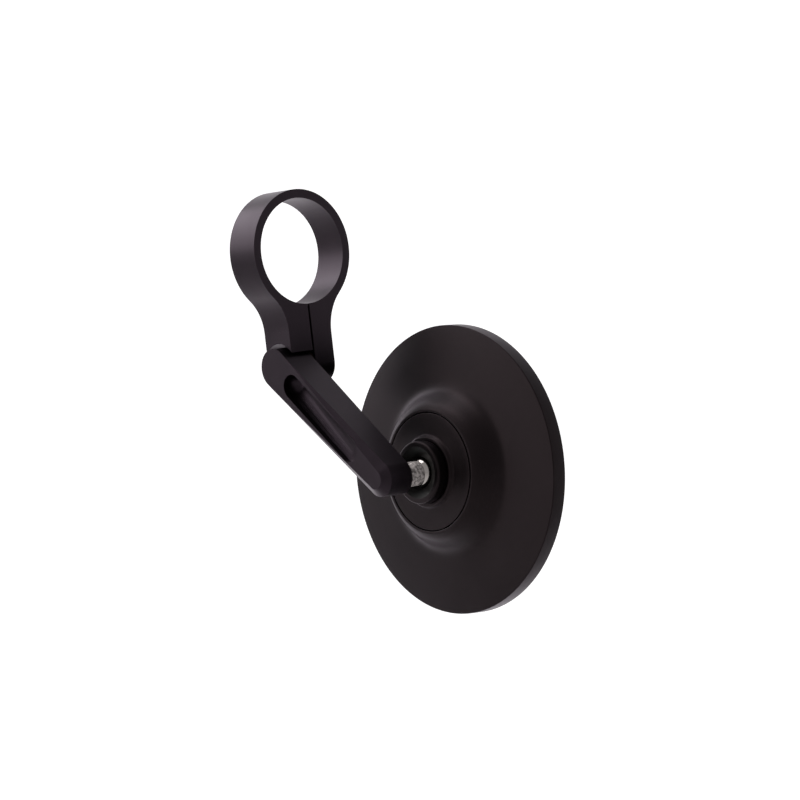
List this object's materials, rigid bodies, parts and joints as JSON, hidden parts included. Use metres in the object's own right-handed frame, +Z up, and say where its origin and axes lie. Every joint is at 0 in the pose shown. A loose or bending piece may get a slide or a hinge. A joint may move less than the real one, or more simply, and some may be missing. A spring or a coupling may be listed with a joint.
{
  "type": "motorcycle bar end mirror",
  "caption": "Round mirror for the end of a motorcycle handlebar: split clamp ring, slotted swing arm that pivots on it, ball joint with collar nut and dished round housing.",
  "frame": {"origin": "centre of the clamp ring's bore, at the middle of its width", "axes": "+X along the bar, outwards; +Y to the rear, the way the glass faces; +Z up"},
  "size_m": [0.0999, 0.0508, 0.1488],
  "materials": {
    "bar_clamp": "satin black anodised, fine blasted",
    "clamp_screw": "black oxide steel",
    "clamp_washer": "black oxide steel",
    "friction_washer": "plain bronze",
    "thrust_washer": "plain bronze",
    "pivot_spring": "spring steel",
    "pivot_screw": "black oxide steel",
    "mirror_arm": "satin black anodised, fine blasted",
    "ball_stud": "polished ball, matt shank",
    "ball_liner": "natural acetal",
    "seat_cup": "natural acetal",
    "seat_spring": "spring steel",
    "collar_nut": "satin black anodised, turned",
    "socket_plate": "satin black anodised, turned",
    "plate_screws": "black oxide steel",
    "mirror_housing": "satin black anodised, turned",
    "foam_pad": "closed-cell foam",
    "mirror_glass": "silvered glass"
  },
  "bodies": {
    "clamp": {"bar_clamp": "bar_clamp", "clamp_screw": "clamp_screw", "clamp_washer": "clamp_washer", "thrust_washer": "thrust_washer"},
    "arm": {"mirror_arm": "mirror_arm", "ball_stud": "ball_stud", "pivot_screw": "pivot_screw", "pivot_spring": "pivot_spring", "friction_washer": "friction_washer"},
    "liner": {"ball_liner": "ball_liner"},
    "cup": {"seat_cup": "seat_cup"},
    "head": {"mirror_housing": "mirror_housing", "socket_plate": "socket_plate", "plate_screws": "plate_screws", "collar_nut": "collar_nut", "seat_spring": "seat_spring", "foam_pad": "foam_pad", "mirror_glass": "mirror_glass"}
  },
  "joints": [
    {"name": "arm_pivot", "type": "hinge", "parent": "clamp", "child": "arm", "pos_m": [0, 0, -0.0386], "axis": [0, 1, 0], "range_deg": [-15, 110]},
    {"name": "mirror_tilt", "type": "hinge", "parent": "arm", "child": "liner", "pos_m": [0.04487, 0.0096, -0.07844], "axis": [1, 0, 0], "range_deg": [-12.5, 17.5]},
    {"name": "mirror_swivel", "type": "hinge", "parent": "liner", "child": "cup", "pos_m": [0.04487, 0.0096, -0.07844], "axis": [0, 0.0436, 0.999], "range_deg": [-15.9, 14.1]},
    {"name": "mirror_spin", "type": "hinge", "parent": "cup", "child": "head", "pos_m": [0.04487, 0.0096, -0.07844], "axis": [-0.0157, 0.9989, -0.0436], "continuous": true}
  ]
}
